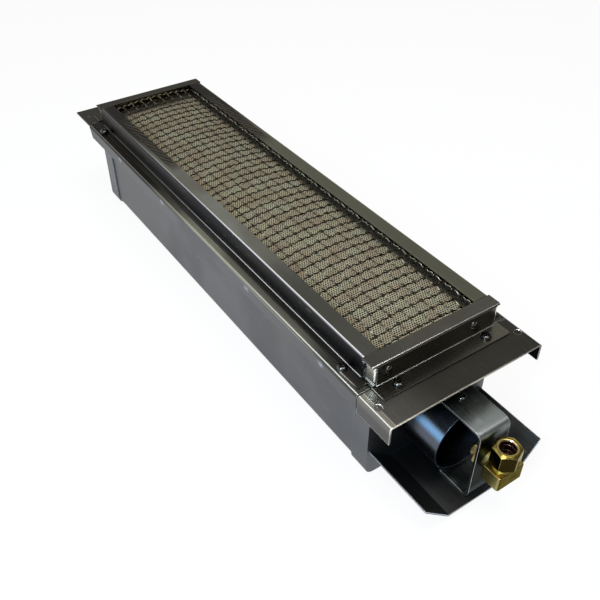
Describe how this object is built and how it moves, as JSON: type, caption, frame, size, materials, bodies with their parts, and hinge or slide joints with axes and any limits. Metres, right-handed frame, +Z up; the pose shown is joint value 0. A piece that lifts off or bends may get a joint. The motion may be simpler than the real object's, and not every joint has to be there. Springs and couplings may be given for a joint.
{
  "type": "infrared gas burner",
  "caption": "Infrared gas burner: steel trough with perforated ceramic plaques under an arched wire screen, mixing tube and brass compression elbow.",
  "frame": {"origin": "middle of the underside outline, on the surface the end caps stand on", "axes": "+Z up out of the radiant face, +Y along the trough away from the gas fitting, +X to the right seen from the gas end"},
  "size_m": [0.12, 0.4996, 0.0974],
  "materials": {
    "trough_steel": "mill",
    "cap_steel": "mill",
    "plate_stainless": "satin",
    "frame_stainless": "satin",
    "screen_wire": "drawn",
    "ceramic": "fired cordierite",
    "ceramic_fibre": "felted",
    "tube_steel": "zinc plated",
    "zinc_strap": "zinc plated",
    "tray_steel": "mill",
    "brass": "turned",
    "screw_steel": "plated"
  },
  "bodies": {
    "burner_body": {"burner_trough": "trough_steel", "front_end_cap": "cap_steel", "rear_end_cap": "cap_steel", "front_plate": "plate_stainless", "rear_plate": "plate_stainless", "left_screen_rail": "frame_stainless", "right_screen_rail": "frame_stainless", "front_screen_bar": "frame_stainless", "rear_screen_bar": "frame_stainless", "screen_long_wires": "screen_wire", "screen_cross_wires": "screen_wire", "screen_clips": "screw_steel", "ceramic_plaque_1": "ceramic", "ceramic_plaque_2": "ceramic", "ceramic_plaque_3": "ceramic", "plaque_gasket": "ceramic_fibre", "plaque_cement": "ceramic_fibre", "left_plaque_ledge": "trough_steel", "right_plaque_ledge": "trough_steel", "front_plaque_ledge": "trough_steel", "rear_plaque_ledge": "trough_steel", "baffle_plate": "trough_steel", "mixing_tube": "tube_steel", "tube_saddle": "trough_steel", "orifice_bracket": "zinc_strap", "air_tray": "tray_steel", "brass_elbow": "brass", "spud_locknut": "brass", "orifice_spud": "brass", "bar_screws": "screw_steel", "rail_screws": "screw_steel", "bar_rivets": "screw_steel", "tube_screw": "screw_steel"},
    "ferrule_body": {"ferrule": "brass"},
    "nut_body": {"compression_nut": "brass"}
  },
  "joints": [
    {"name": "nut_lift", "type": "slide", "parent": "burner_body", "child": "ferrule_body", "axis": [0, 0, 1], "range_m": [0, 0.0074]},
    {"name": "nut_turn", "type": "hinge", "parent": "ferrule_body", "child": "nut_body", "pos_m": [0, -0.2407, 0.04845], "axis": [0, 0, 1], "range_deg": [0, 2510]}
  ],
  "couplings": [
    {"joint": "nut_lift", "follows": "nut_turn", "m_per_rad": 0.00016844}
  ]
}
